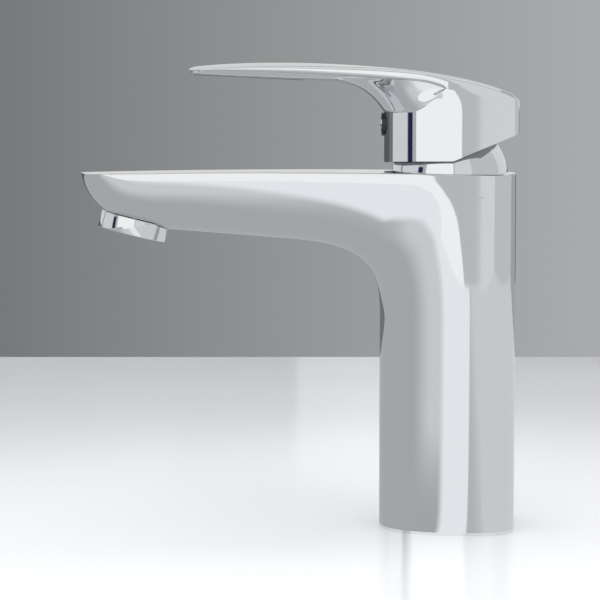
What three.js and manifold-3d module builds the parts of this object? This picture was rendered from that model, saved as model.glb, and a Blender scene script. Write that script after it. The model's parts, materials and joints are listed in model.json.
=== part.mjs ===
// A single-lever basin mixer that stands on a deck, with its ceramic-disc cartridge and its fixing kit.
// Millimetres, +Z up. The origin is where the cartridge's axis meets the deck's top surface.
// The spout and the lever point along -Y. Seen from the front, hot is on the left (-X).
import * as THREE from 'three';
import { LoftGeometry } from 'three/addons/geometries/LoftGeometry.js';
import { mergeVertices } from 'three/addons/utils/BufferGeometryUtils.js';
import Module from 'manifold-3d';

const wasm = await Module();
wasm.setup();

// ---------------------------------------------------------------- driving dimensions
const HALF_WIDTH = 21.2; // of the column, the handle and the root of the spout
const COLUMN_FRONT = -24.4;
const FLAT_Y = 5.7; // where the column's flat sides begin, behind its oval front
const FLAT_DEPTH = 38.5; // the same, measured square to the fillet, where the spout runs into the column
const FULLNESS = 2.3; // exponent of the ovals: 2 is an ellipse, more is fuller
const COLUMN_BACK = 22.15;
const COLUMN_CORNER_R = 12;

const FILLET_START_Z = 80; // where the column's front begins to curve out into the spout
const SPOUT_TIP_Y = -128.7;
const SPOUT_EDGE_Z = 124.5; // height of the spout's top edge at its tip
const TAPER_Y = -3.2; // the spout narrows from here
const SPOUT_TAPER = 3.8; // how much narrower each side is at the tip than at the column
const TIP_CORNER_R = 6.5; // of the outline at the tip, seen from above
const TIP_FRONT_R = 48; // gentle round of the tip's front, seen from above
const TOP_RIDGE_Z = 125.8; // highest line of the crowned top
const TOP_RIDGE_Y = -52;
const TOP_ARCH = 1.7e-4; // fall of the ridge per square millimetre away from TOP_RIDGE_Y
const TOP_CROWN_R = 150; // crown across the top

const PIVOT_Z = 122.7; // centre of the dome, and height of the lever's tilt axis
const REST_TILT = THREE.MathUtils.degToRad(11); // the spindle leans forward by this when shut
const UNDERCUT = THREE.MathUtils.degToRad(22.7); // slope under the handle's back

const CHAMBER_R = 17.7;
const CHAMBER_FLOOR_Z = 98;
const NUT_BORE_R = 19.2;
const NUT_BORE_Z = 113;
const DOME_SEAT_R = 20.6;
const DOME_SEAT_Z = 122.6;
const DOME_R = 20.3;
const DOME_WALL = 0.9;
const DOME_MOUTH_R = 14;

const INLET_X = 6.2;
const INLET_PORT_Y = -4;
const OUTLET_PORT_Y = 6.5;
const PORT_R = 3;
const HOSE_X = 5.7;
const HOSE_Y = -4.8;
const HOSE_R = 4.9; // M10 x 1
const STUD_Y = 11.8;
const STUD_R = 4; // M8
const RECESS_R = 16.4;
const RECESS_Z = 50;
const GASKET_IN = 17.9;
const GASKET_OUT = 19.8;
const DECK_THICKNESS = 20;

const AERATOR_Y = -111.6; // centre of the outlet's face
const AERATOR_Z = 103.1;
const AERATOR_TILT = THREE.MathUtils.degToRad(14.2);
const AERATOR_R = 12; // M24 x 1
const AERATOR_RIM = 5.8; // height of the ring that shows

const COLLAR_Z = 128.3; // underside of the handle
const COLLAR_TOP_Z = 146;
const COLLAR_FRONT = -23;
const COLLAR_FLAT_Y = 3.9; // where the collar's flat sides begin, behind its oval front
const COLLAR_BACK = 6; // the collar's straight sides end inside the handle's back
const BOWL_R = 20.8; // hollow in the handle, clear of the dome all round
const LEVER_ROOT_Y = -1.8; // the lever narrows from here
const LEVER_TIP_Y = -90.9;
const SCREW_Z = 141.5;
const PLUG_R = 4.1; // of the plug over the set screw
const SPINDLE = 8; // side of the square spindle
const BALL_ARM = 11; // from the pivot down to the ball that pushes the disc
const DISC_SHIFT = BALL_ARM * Math.sin(REST_TILT); // how far the disc sits back when shut

const GAP = 0.3; // clearance between neighbouring pieces
const WELD = 1e-4;

// ---------------------------------------------------------------- shaping helpers

// A closed geometry as a solid that can be joined and cut.
function solid(geometry) {
  const bare = new THREE.BufferGeometry().setAttribute('position', geometry.attributes.position);
  const merged = mergeVertices(bare.setIndex(geometry.index), WELD);
  const index = merged.index.array;
  const triangles = [];
  for (let i = 0; i < index.length; i += 3) {
    const [a, b, c] = index.subarray(i, i + 3);
    if (a !== b && b !== c && c !== a) triangles.push(a, b, c);
  }
  return new wasm.Manifold(
    new wasm.Mesh({
      numProp: 3,
      vertProperties: merged.attributes.position.array,
      triVerts: new Uint32Array(triangles),
    }),
  );
}

// A solid back as a geometry for a mesh.
function geometryOf(shape) {
  const mesh = shape.getMesh();
  const geometry = new THREE.BufferGeometry();
  geometry.setAttribute('position', new THREE.BufferAttribute(mesh.vertProperties, 3));
  geometry.setIndex(new THREE.BufferAttribute(mesh.triVerts, 1));
  geometry.computeVertexNormals();
  return geometry;
}

const join = (...shapes) => shapes.reduce((all, shape) => all.add(shape));
const cut = (shape, ...tools) => tools.reduce((rest, tool) => rest.subtract(tool), shape);

// A round bar or bore along Z.
function rod(radius, low, high, x = 0, y = 0, sides = 32) {
  const bar = new THREE.CylinderGeometry(radius, radius, high - low, sides);
  return solid(bar.rotateX(Math.PI / 2).translate(x, y, (low + high) / 2));
}

// A round bar or bore along Y at height z.
function crossRod(radius, front, back, z, sides = 32) {
  const bar = new THREE.CylinderGeometry(radius, radius, back - front, sides);
  return solid(bar.translate(0, (front + back) / 2, z));
}

// A box between two corners.
function block([x0, y0, z0], [x1, y1, z1]) {
  const box = new THREE.BoxGeometry(x1 - x0, y1 - y0, z1 - z0);
  return solid(box.translate((x0 + x1) / 2, (y0 + y1) / 2, (z0 + z1) / 2));
}

// A turned piece about Z: its profile is a loop of [radius, height] pairs, outer side going up.
function turned(profile, sides = 36) {
  const loop = [...profile, profile[0]].map(([r, z]) => new THREE.Vector2(r, z));
  return solid(new THREE.LatheGeometry(loop, sides).rotateX(Math.PI / 2));
}

// A flat ring.
const ring = (inner, outer, low, high, sides = 36) =>
  turned([[inner, low], [outer, low], [outer, high], [inner, high]], sides);

// A ring of round section.
function oRing(radius, thickness, z, sides = 36) {
  return solid(new THREE.TorusGeometry(radius, thickness, 6, sides).translate(0, 0, z));
}

// An outline in the XY plane raised between two heights.
function raised(outline, low, high, curveSegments = 12) {
  const options = { depth: high - low, bevelEnabled: false, curveSegments };
  return solid(new THREE.ExtrudeGeometry(outline, options).translate(0, 0, low));
}

// A side view, drawn with Y to the right and Z up, spread over the width from -half to half.
function sideways(outline, half, curveSegments = 12) {
  const options = { depth: 2 * half, bevelEnabled: false, curveSegments };
  const plate = new THREE.ExtrudeGeometry(outline, options).translate(0, 0, -half);
  return solid(plate.rotateY(Math.PI / 2).rotateX(Math.PI / 2));
}

// A round passage along a smooth path of [x, y, z] points.
function passage(points, radius, steps = 24) {
  const path = new THREE.CatmullRomCurve3(points.map((p) => new THREE.Vector3(...p)));
  const round = new THREE.Shape().absarc(0, 0, radius, 0, 2 * Math.PI);
  const options = { extrudePath: path, steps, curveSegments: 5, bevelEnabled: false };
  return solid(new THREE.ExtrudeGeometry(round, options));
}

// ---------------------------------------------------------------- body casting

// Half the width of the body at y: full over the column, narrower towards the tip.
function halfWidthAt(y) {
  const along = Math.max(0, TAPER_Y - y) / (TAPER_Y - SPOUT_TIP_Y);
  return HALF_WIDTH - SPOUT_TAPER * along ** 1.5;
}

// The body's front and underside in side view, as [y, z]: the fillet, the keel and the bow up to the tip.
function underside() {
  const at = (y, z) => new THREE.Vector2(y, z);
  const root = at(-55, 101.4);
  const bow = at(-99.5, 104.9);
  const slope = (bow.y - root.y) / (root.x - bow.x);
  const fillet = new THREE.CubicBezierCurve(
    at(COLUMN_FRONT, FILLET_START_Z),
    at(COLUMN_FRONT, 93.5),
    at(root.x + 20, root.y - 20 * slope),
    root,
  );
  const nose = new THREE.CubicBezierCurve(
    bow,
    at(bow.x - 15, bow.y + 15 * slope),
    at(SPOUT_TIP_Y + 1.2, 113.8),
    at(SPOUT_TIP_Y, SPOUT_EDGE_Z),
  );
  const keel = new THREE.LineCurve(root, bow);
  const curves = [fillet.getPoints(7), keel.getPoints(4).slice(1), nose.getPoints(8).slice(1)];
  return [at(COLUMN_FRONT, 0), ...curves.flat()];
}

const UNDERSIDE = underside();

// How far a point of the side view lies inside the underside.
function depthAt(y, z) {
  const point = new THREE.Vector3(y, z, 0);
  const nearest = new THREE.Vector3();
  const distances = UNDERSIDE.slice(1).map((end, i) => {
    const start = UNDERSIDE[i];
    const edge = new THREE.Line3(new THREE.Vector3(start.x, start.y, 0), new THREE.Vector3(end.x, end.y, 0));
    return edge.closestPointToPoint(point, true, nearest).distanceTo(point);
  });
  return Math.min(...distances);
}

// Share of its full width that a full oval has, a share left before its widest place.
const oval = (left) => (1 - THREE.MathUtils.clamp(left, 0, 1) ** FULLNESS) ** (1 / FULLNESS);

// Half the width of the body at a point of the side view: oval under the spout and at the column's front,
// drawn in to a flatter front with small corners towards the tip.
function sideX(y, z) {
  const { clamp, mapLinear, smoothstep } = THREE.MathUtils;
  const [columnZ, spoutZ] = [75, 110];
  const tipShare = smoothstep(TAPER_Y - y, 70, TAPER_Y - SPOUT_TIP_Y);
  const across = halfWidthAt(y) + (TIP_CORNER_R - halfWidthAt(y)) * tipShare;
  const flat = mapLinear(clamp(z, columnZ, spoutZ), columnZ, spoutZ, FLAT_Y - COLUMN_FRONT, FLAT_DEPTH);
  const room = SPOUT_EDGE_Z - z + depthAt(y, z) - 1;
  const deep = Math.max(TIP_CORNER_R, Math.min(flat, room));
  return halfWidthAt(y) - across + across * oval(1 - depthAt(y, z) / deep);
}

// One level outline of the body at height z, with its foremost point at frontY.
function waterline(z, frontY) {
  const back = new THREE.Path();
  const corner = HALF_WIDTH - COLUMN_CORNER_R;
  const cornerY = COLUMN_BACK - COLUMN_CORNER_R;
  back.moveTo(HALF_WIDTH, FLAT_Y);
  back.absarc(corner, cornerY, COLUMN_CORNER_R, 0, Math.PI / 2);
  back.absarc(-corner, cornerY, COLUMN_CORNER_R, Math.PI / 2, Math.PI);
  back.lineTo(-HALF_WIDTH, FLAT_Y);
  const points = back.getPoints(5).map((p) => new THREE.Vector3(p.x, p.y, z));
  const half = 15;
  for (let i = 1; i < 2 * half; i++) {
    const side = i < half ? -1 : 1;
    const angle = ((Math.PI / 2) * Math.min(i, 2 * half - i)) / half;
    const y = FLAT_Y + Math.sin(angle) * (frontY - FLAT_Y);
    const x = i === half ? 0 : sideX(y, z);
    const bulge = THREE.MathUtils.smoothstep(-y, 110, -SPOUT_TIP_Y);
    points.push(new THREE.Vector3(side * x, y + (bulge * x * x) / (2 * TIP_FRONT_R), z));
  }
  return points;
}

// Column and spout as one hull, built from level outlines.
function hull() {
  const levels = [...UNDERSIDE, new THREE.Vector2(SPOUT_TIP_Y, TOP_RIDGE_Z + 2)];
  const sections = levels.map(({ x: frontY, y: z }) => waterline(z, frontY));
  return solid(new LoftGeometry(sections, { capStart: true, capEnd: true }));
}

// Everything under the crowned top surface.
function underTheCrown() {
  const [width, length, height] = [60, 180, 160];
  const box = new THREE.BoxGeometry(width, length, height, 6, 8, 1).translate(0, TOP_RIDGE_Y, 0);
  const place = box.attributes.position;
  for (let i = 0; i < place.count; i++) {
    if (place.getZ(i) < 0) continue;
    const fall = TOP_ARCH * (place.getY(i) - TOP_RIDGE_Y) ** 2 + place.getX(i) ** 2 / (2 * TOP_CROWN_R);
    place.setZ(i, TOP_RIDGE_Z - fall);
  }
  return solid(box);
}

// A solid made in the aerator's own frame, moved to the end of the spout.
function atAerator(shape) {
  const bare = geometryOf(shape).rotateX(-AERATOR_TILT).translate(0, AERATOR_Y, AERATOR_Z);
  return solid(bare);
}

// The way of the mixed water: from the port under the cartridge through the spout to the aerator's pocket.
function mixedWaterway() {
  const wide = crossRod(6, -101, -44, 113.6, 24);
  const narrow = passage(
    [
      [0, OUTLET_PORT_Y, CHAMBER_FLOOR_Z + 1],
      [0, OUTLET_PORT_Y, 94],
      [0, 0, 90.5],
      [0, -14, 90.5],
      [0, -24, 96],
      [0, -38, 107],
      [0, -60, 112.5],
      [0, -104, 112.5],
    ],
    4,
    20,
  );
  return join(narrow, wide);
}

// The way of the hot or cold water, bent outwards to pass beside the mixed water.
function inletWaterway(side) {
  return passage(
    [
      [side * HOSE_X, HOSE_Y, RECESS_Z + 10],
      [side * 8, HOSE_Y, 72],
      [side * 10, HOSE_Y, 86],
      [side * INLET_X, INLET_PORT_Y, CHAMBER_FLOOR_Z + 1],
    ],
    PORT_R,
    8,
  );
}

function body() {
  const threadDepth = 12;
  const outside = hull().intersect(underTheCrown());
  const bores = [
    rod(CHAMBER_R, CHAMBER_FLOOR_Z, 130, 0, 0, 36),
    rod(NUT_BORE_R, NUT_BORE_Z, 130, 0, 0, 36),
    rod(DOME_SEAT_R, DOME_SEAT_Z, 130, 0, 0, 48),
    rod(RECESS_R, -1, RECESS_Z, 0, 0, 36),
    rod(STUD_R + 0.15, RECESS_Z - 1, RECESS_Z + 16, 0, STUD_Y, 16),
    rod(HOSE_R, RECESS_Z - 1, RECESS_Z + threadDepth, -HOSE_X, HOSE_Y, 20),
    rod(HOSE_R, RECESS_Z - 1, RECESS_Z + threadDepth, HOSE_X, HOSE_Y, 20),
    ring(GASKET_IN - 0.1, GASKET_OUT + 0.1, -1, 2),
    atAerator(rod(AERATOR_R + 0.9, -8, AERATOR_RIM + GAP, 0, 0, 32)),
    atAerator(rod(10.9, 0, 12.6, 0, 0, 28)),
  ];
  return cut(outside, ...bores, mixedWaterway(), inletWaterway(-1), inletWaterway(1));
}

// ---------------------------------------------------------------- cartridge

const PORTS = [
  { x: -INLET_X, y: INLET_PORT_Y, of: 'hot' },
  { x: INLET_X, y: INLET_PORT_Y, of: 'cold' },
  { x: 0, y: OUTLET_PORT_Y, of: 'mixed' },
];
const SEAL_IN = 3.3;
const SEAL_OUT = 4.6;

const BASE_PLATE_Z = [98.4, 101.4];
const FIXED_DISC_Z = [102.6, 105.4];
const SLIDING_DISC_Z = [105.7, 108.5];
const CARRIER_Z = [108.8, 114.2];
const TURRET_Z = [114.6, 118.8];
const TURRET_TOP_Z = 129.5;
const TURRET_FLANGE_R = 14.7;
const TURRET_NECK_R = 9.6;
const PIN_R = 1.2;
const HOUSING_TOP_Z = 127;
const HOUSING_R = 17.4;

const portSeal = ({ x, y }) => geometryOf(ring(SEAL_IN, SEAL_OUT, 98.05, 99.9, 24).translate([x, y, 0]));

// The plate that closes the cartridge: three ports with pockets for their seals.
function cartridgeBase() {
  const [low, high] = BASE_PLATE_Z;
  const holes = PORTS.map(({ x, y }) => rod(PORT_R, low - 1, high + 1, x, y, 20));
  const pockets = PORTS.map(({ x, y }) => rod(SEAL_OUT + 0.1, low - 1, 100, x, y, 24));
  return cut(rod(17.3, low, high, 0, 0, 36), ...holes, ...pockets);
}

// The rubber gasket under the fixed disc, with an eye for each port.
function discGasket() {
  const holes = PORTS.map(({ x, y }) => rod(SEAL_IN, 101, 103, x, y, 20));
  return cut(rod(12.6, 101.6, 102.4), ...holes);
}

function fixedDisc() {
  const holes = PORTS.map(({ x, y }) => rod(PORT_R, 102, 106, x, y, 20));
  return cut(rod(14.6, ...FIXED_DISC_Z, 0, 0, 40), ...holes);
}

// The sliding disc is shut behind the inlets; the hollow under it joins the ports when it slides forward.
function slidingDisc() {
  const [low, high] = SLIDING_DISC_Z;
  const hollow = rod(1, low - 1, low + 1.6, 0, 0, 28).scale([9.2, 5.2, 1]).translate([0, 5.2, 0]);
  return cut(rod(11.6, low, high, 0, 0, 40), hollow);
}

// The carrier holds the sliding disc and takes the spindle's ball in its socket.
function discCarrier() {
  const [low, high] = CARRIER_Z;
  const plate = rod(11.6, low, low + 3, 0, DISC_SHIFT, 40);
  const boss = rod(5.6, low + 2, high, 0, DISC_SHIFT, 28);
  return cut(join(plate, boss), rod(2.65, low + 0.2, high + 1, 0, DISC_SHIFT, 20));
}

// A round bar along X at the origin.
const crossPin = (radius, length, sides) =>
  new THREE.CylinderGeometry(radius, radius, length, sides).rotateZ(Math.PI / 2);

// The turret turns in the housing and carries the spindle on a cross pin.
function turret() {
  const [low, high] = TURRET_Z;
  const flange = rod(TURRET_FLANGE_R, low, high, 0, 0, 40);
  const round = join(flange, rod(TURRET_NECK_R, low, TURRET_TOP_Z, 0, 0, 40));
  const slot = block([-4.3, -5.9, low - 1], [4.3, 5.9, TURRET_TOP_Z + 1]);
  const pinHole = solid(crossPin(PIN_R + 0.15, 30, 16).translate(0, 0, PIVOT_Z));
  return cut(round, slot, pinHole);
}

const turretPin = () => solid(crossPin(PIN_R, 18.4, 16));

// The spindle in its own frame: the pivot is the origin, the square bar goes up and the ball hangs below.
function spindle() {
  const half = SPINDLE / 2;
  const bar = block([-half, -half, -4.5], [half, half, 24.5]);
  const neck = rod(1.9, -BALL_ARM, -4, 0, 0, 16);
  const ball = solid(new THREE.SphereGeometry(2.4, 16, 10).rotateX(Math.PI / 2).translate(0, 0, -BALL_ARM));
  const eye = solid(crossPin(PIN_R + 0.16, 12, 24));
  return cut(join(bar, neck, ball), eye);
}

function cartridgeHousing() {
  const skirt = BASE_PLATE_Z[1] + 0.2;
  const outside = [[HOUSING_R, skirt], [HOUSING_R, 121], [15.4, 121], [15.4, HOUSING_TOP_Z]];
  const inside = [[10.1, HOUSING_TOP_Z], [10.1, 119.1], [15.1, 119.1], [15.1, skirt]];
  return turned([...outside, ...inside]);
}

// The toothed ring that limits how far the lever turns to hot.
function limitRing() {
  const teeth = 20;
  const base = ring(10.4, 14.2, 127.3, 129.1, 40);
  const tooth = block([-0.5, 13.4, 127.3], [0.5, 15, 129.1]);
  const all = Array.from({ length: teeth }, (_, i) => tooth.rotate([0, 0, (i * 360) / teeth]));
  return join(base, ...all);
}

// The nut that holds the cartridge down: a threaded skirt, a flange and a hexagon for the spanner.
function retainingNut() {
  const thread = [];
  const pitch = 2;
  for (let z = 115; z < 122.5; z += pitch) thread.push([18.95, z], [18.95, z + 1], [18.3, z + 1.5]);
  const top = [[18.1, 123.4], [18.1, 125.8]];
  const inside = [[15.7, 125.8], [15.7, 121.3], [17.6, 121.3], [17.6, 115]];
  const hexagon = rod(17.6, 125.8, 129.2, 0, 0, 6);
  return join(turned([...thread, ...top, ...inside]), cut(hexagon, rod(15.7, 125, 130, 0, 0, 36)));
}

// ---------------------------------------------------------------- dome and handle

// The cap over the cartridge: a band of a sphere, open where the spindle comes through.
function domeCap() {
  const arc = (radius, fromZ, toR, steps) => {
    const start = Math.asin((fromZ - PIVOT_Z) / radius);
    const end = Math.acos(toR / radius);
    return Array.from({ length: steps + 1 }, (_, i) => {
      const angle = start + ((end - start) * i) / steps;
      return [radius * Math.cos(angle), PIVOT_Z + radius * Math.sin(angle)];
    });
  };
  const low = DOME_SEAT_Z + GAP;
  const outer = arc(DOME_R, low, DOME_MOUTH_R, 5);
  const inner = arc(DOME_R - DOME_WALL, low, DOME_MOUTH_R, 5).reverse();
  return turned([...outer, ...inner]);
}

// The handle's outline seen from above, from its square back to the rounded tip of the lever.
function handlePlan() {
  const back = COLUMN_BACK;
  const corner = 2.5;
  const tip = 11.5; // half width of the lever at its tip
  const tipR = 6;
  const plan = new THREE.Shape();
  plan.moveTo(HALF_WIDTH, LEVER_ROOT_Y);
  plan.absarc(HALF_WIDTH - corner, back - corner, corner, 0, Math.PI / 2);
  plan.absarc(-HALF_WIDTH + corner, back - corner, corner, Math.PI / 2, Math.PI);
  plan.lineTo(-HALF_WIDTH, LEVER_ROOT_Y);
  plan.bezierCurveTo(-HALF_WIDTH, -28, -tip - 2.5, -50, -tip, LEVER_TIP_Y + tipR);
  plan.absarc(-tip + tipR, LEVER_TIP_Y + tipR, tipR, Math.PI, 1.5 * Math.PI);
  plan.absarc(tip - tipR, LEVER_TIP_Y + tipR, tipR, 1.5 * Math.PI, 2 * Math.PI);
  plan.bezierCurveTo(tip + 2.5, -50, HALF_WIDTH, -28, HALF_WIDTH, LEVER_ROOT_Y);
  return plan;
}

// The oval front and straight sides of the collar, drawn in by inset.
function collarPlan(inset) {
  const half = HALF_WIDTH - inset;
  const deep = COLLAR_FLAT_Y - COLLAR_FRONT - inset;
  const steps = 40;
  const plan = new THREE.Shape();
  plan.moveTo(half, COLLAR_BACK);
  plan.lineTo(-half, COLLAR_BACK);
  for (let i = 0; i <= steps; i++) {
    const angle = (Math.PI * i) / steps;
    const side = -Math.sign(Math.cos(angle));
    const across = Math.abs(Math.cos(angle)) ** (2 / FULLNESS);
    plan.lineTo(side * half * across, COLLAR_FLAT_Y - deep * Math.sin(angle) ** (2 / FULLNESS));
  }
  return plan;
}

// Side view of the lever and the handle's back: arched top, thin blade, slope under the back.
function leverSide() {
  const side = new THREE.Shape();
  side.moveTo(2.5, COLLAR_Z);
  side.lineTo(COLUMN_BACK, 137.6);
  side.lineTo(COLUMN_BACK, 150.6);
  side.bezierCurveTo(14, 155.6, -4, 160, -38, 162.1);
  side.bezierCurveTo(-55, 163, -78, 163, LEVER_TIP_Y, 161);
  side.lineTo(LEVER_TIP_Y, 159.8);
  side.bezierCurveTo(-70, 159.4, -40, 157.2, -12.8, 155.4);
  side.bezierCurveTo(-5, 154.4, 2.5, 151.5, 2.5, COLLAR_TOP_Z);
  return side;
}

// Side view of the keel under the blade, which sweeps down into the collar.
function keelSide() {
  const keel = new THREE.Shape();
  keel.moveTo(-6, COLLAR_TOP_Z - 2);
  keel.lineTo(-6, 157);
  keel.lineTo(-84, 160.2);
  keel.bezierCurveTo(-62, 157.4, -42, 157.2, -33, 154.7);
  keel.bezierCurveTo(-26.5, 152.4, -24, 149.5, COLLAR_FRONT, COLLAR_TOP_Z - 2);
  return keel;
}

// The hollow round the dome, less the boss that holds the spindle, both about the pivot.
function bowl() {
  const sphere = solid(new THREE.SphereGeometry(BOWL_R, 32, 20).rotateX(Math.PI / 2));
  const boss = geometryOf(rod(7.4, 10, BOWL_R + 4, 0, 0, 28)).rotateX(REST_TILT);
  return cut(sphere, solid(boss)).translate([0, 0, PIVOT_Z]);
}

// The square hole for the spindle.
function spindleSocket() {
  const half = SPINDLE / 2 + 0.15;
  const hole = geometryOf(block([-half, -half, 8], [half, half, 25]));
  return solid(hole.rotateX(REST_TILT).translate(0, 0, PIVOT_Z));
}

function handle() {
  const blade = sideways(leverSide(), 30, 16).intersect(raised(handlePlan(), 120, 170));
  const collar = raised(collarPlan(0), COLLAR_Z, COLLAR_TOP_Z, 20);
  const neck = raised(collarPlan(2.2), COLLAR_TOP_Z - 1, 153.5, 20);
  const keel = sideways(keelSide(), 9, 10);
  const slope = new THREE.BoxGeometry(80, 80, 40).translate(0, 40, -20).rotateX(UNDERCUT);
  const under = solid(slope.translate(0, -0.4, COLLAR_Z));
  const outside = cut(join(blade, collar, neck, keel), under);
  const plugHole = crossRod(PLUG_R + GAP, COLLAR_FRONT - 2, COLLAR_FRONT + 4.6, SCREW_Z, 28);
  const screwHole = crossRod(2.75, COLLAR_FRONT, -4, SCREW_Z, 20);
  return cut(outside, bowl(), spindleSocket(), plugHole, screwHole);
}

// The set screw, with a hexagon socket in its front end.
function setScrew() {
  const socket = crossRod(1.45, -17.5, -13.8, SCREW_Z, 6);
  return cut(crossRod(2.5, -16.8, -8.6, SCREW_Z, 20), socket);
}

// The plug over the set screw, with a shallow seat for the index disc.
function indexPlug() {
  const front = COLLAR_FRONT - 1;
  const seat = crossRod(3.1, front - 1, front + 0.6, SCREW_Z, 24);
  return cut(crossRod(PLUG_R, front, front + 4.8, SCREW_Z, 28), seat);
}

const indexDisc = () => crossRod(2.85, COLLAR_FRONT - 1.3, COLLAR_FRONT - 0.65, SCREW_Z, 24);

// ---------------------------------------------------------------- aerator, outlet face at its own origin

function aeratorHousing() {
  const bevel = 0.5;
  const [neckR, neckTop, boreR, mouthR] = [10.6, 10.2, 9.2, 8.4];
  const face = [[neckR - 1, 0], [AERATOR_R - bevel, 0]];
  const band = [[AERATOR_R, bevel], [AERATOR_R, AERATOR_RIM], [neckR, AERATOR_RIM]];
  const inside = [[neckR, neckTop], [boreR, neckTop], [boreR, 1], [mouthR, 0.6], [mouthR, 0]];
  return turned([...face, ...band, ...inside], 32);
}

// The flow former: a cup whose top is pierced by a ring of small holes.
function aeratorInsert() {
  const holes = 8;
  const cup = turned([[8.9, 3], [8.9, 9.8], [0, 9.8], [0, 8.4], [7.6, 8.4], [7.6, 3]], 32);
  const hole = rod(1.1, 8, 10.5, 0, 5, 8);
  return cut(cup, ...Array.from({ length: holes }, (_, i) => hole.rotate([0, 0, (i * 360) / holes])));
}

// The honeycomb that the water leaves through.
function aeratorScreen() {
  const pitch = 3.1;
  const cells = [];
  for (let row = -2; row <= 2; row++) {
    for (let column = -2; column <= 2; column++) {
      const x = (column + row / 2) * pitch;
      const y = (row * pitch * Math.sqrt(3)) / 2;
      if (Math.hypot(x, y) < 6.5) cells.push(rod(1.5, 0, 4, x, y, 6));
    }
  }
  return cut(rod(8.9, 1.2, 2.7, 0, 0, 32), ...cells);
}

const aeratorWasher = () => ring(7, 10.4, 10.5, 12.3, 32);

// ---------------------------------------------------------------- fixing kit under the deck

// A horseshoe: open towards the front for the hoses, with a hole for the stud.
function horseshoe(radius, low, high) {
  const slot = 10.6;
  const mouth = block([-slot, -40, low - 1], [slot, HOSE_Y, high + 1]);
  const open = join(rod(slot, low - 1, high + 1, 0, HOSE_Y), mouth);
  return cut(rod(radius, low, high, 0, 0, 36), open, rod(STUD_R + 0.3, low - 1, high + 1, 0, STUD_Y, 24));
}

// The threaded rod, with a slot in its lower end for a screwdriver.
function mountingStud() {
  const low = -42;
  const slot = block([-5, STUD_Y - 0.6, low - 1], [5, STUD_Y + 0.6, low + 2]);
  return cut(rod(STUD_R - 0.1, low, RECESS_Z + 15, 0, STUD_Y, 20), slot);
}

function studNut() {
  return cut(rod(7.5, -32, -25.5, 0, STUD_Y, 6), rod(STUD_R + 0.1, -33, -25, 0, STUD_Y, 20));
}

// ---------------------------------------------------------------- assembly

const FINISH = {
  chrome: { color: 0xd6d9dc, roughness: 0.06, metalness: 1 },
  brass: { color: 0xb5935a, roughness: 0.35, metalness: 1 },
  steel: { color: 0xa9adb0, roughness: 0.35, metalness: 1 },
  ceramic: { color: 0xf1efe8, roughness: 0.15, metalness: 0 },
  greyPlastic: { color: 0x9aa0a6, roughness: 0.5, metalness: 0 },
  whitePlastic: { color: 0xe9ebec, roughness: 0.45, metalness: 0 },
  darkPlastic: { color: 0x2c2e31, roughness: 0.4, metalness: 0 },
  redPlastic: { color: 0xb3262a, roughness: 0.4, metalness: 0 },
  rubber: { color: 0x1b1c1e, roughness: 0.8, metalness: 0 },
};

function piece(name, finish, shape) {
  const geometry = shape.isBufferGeometry ? shape : geometryOf(shape);
  const mesh = new THREE.Mesh(geometry, new THREE.MeshStandardMaterial(FINISH[finish]));
  mesh.name = name;
  return mesh;
}

function bodyGroup() {
  const group = new THREE.Group();
  group.add(
    piece('body', 'chrome', body()),
    piece('base_gasket', 'rubber', ring(GASKET_IN, GASKET_OUT, 0, 1.7)),
    piece('dome_cap', 'chrome', domeCap()),
    piece('dome_o_ring', 'rubber', oRing(18.66, 0.42, 124.8)),
    piece('retaining_nut', 'brass', retainingNut()),
  );
  return group;
}

function cartridgeGroup() {
  const group = new THREE.Group();
  group.add(
    piece('cartridge_housing', 'greyPlastic', cartridgeHousing()),
    piece('cartridge_base', 'greyPlastic', cartridgeBase()),
    ...PORTS.map((port) => piece(`${port.of}_port_seal`, 'rubber', portSeal(port))),
    piece('disc_gasket', 'rubber', discGasket()),
    piece('fixed_disc', 'ceramic', fixedDisc()),
    piece('disc_carrier', 'whitePlastic', discCarrier()),
    piece('stem_turret', 'whitePlastic', turret()),
    piece('temperature_limit_ring', 'redPlastic', limitRing()),
  );
  const sliding = piece('sliding_disc', 'ceramic', slidingDisc());
  sliding.position.y = DISC_SHIFT;
  const pin = piece('stem_pin', 'steel', turretPin());
  pin.position.z = PIVOT_Z;
  const stem = piece('spindle', 'brass', spindle());
  stem.position.z = PIVOT_Z;
  stem.rotation.x = REST_TILT;
  group.add(sliding, pin, stem);
  return group;
}

function handleGroup() {
  const group = new THREE.Group();
  group.add(
    piece('handle', 'chrome', handle()),
    piece('handle_set_screw', 'steel', setScrew()),
    piece('index_plug', 'darkPlastic', indexPlug()),
    piece('index_disc', 'chrome', indexDisc()),
  );
  return group;
}

function aeratorGroup() {
  const group = new THREE.Group();
  group.add(
    piece('aerator_housing', 'chrome', aeratorHousing()),
    piece('aerator_insert', 'whitePlastic', aeratorInsert()),
    piece('aerator_screen', 'greyPlastic', aeratorScreen()),
    piece('aerator_washer', 'rubber', aeratorWasher()),
  );
  group.position.set(0, AERATOR_Y, AERATOR_Z);
  group.rotation.x = -AERATOR_TILT;
  return group;
}

function fixingGroup() {
  const washerZ = [-DECK_THICKNESS - 3, -DECK_THICKNESS];
  const plateZ = [washerZ[0] - 2.2, washerZ[0] - 0.2];
  const group = new THREE.Group();
  group.add(
    piece('mounting_stud', 'steel', mountingStud()),
    piece('rubber_washer', 'rubber', horseshoe(22, ...washerZ)),
    piece('clamp_plate', 'steel', horseshoe(21, ...plateZ)),
    piece('stud_nut', 'brass', studNut()),
  );
  return group;
}

const faucet = new THREE.Group();
faucet.add(bodyGroup(), cartridgeGroup(), handleGroup(), aeratorGroup(), fixingGroup());

export default faucet;
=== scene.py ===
import json
import math

import bpy
import numpy as np
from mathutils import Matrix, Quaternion, Vector


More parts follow.
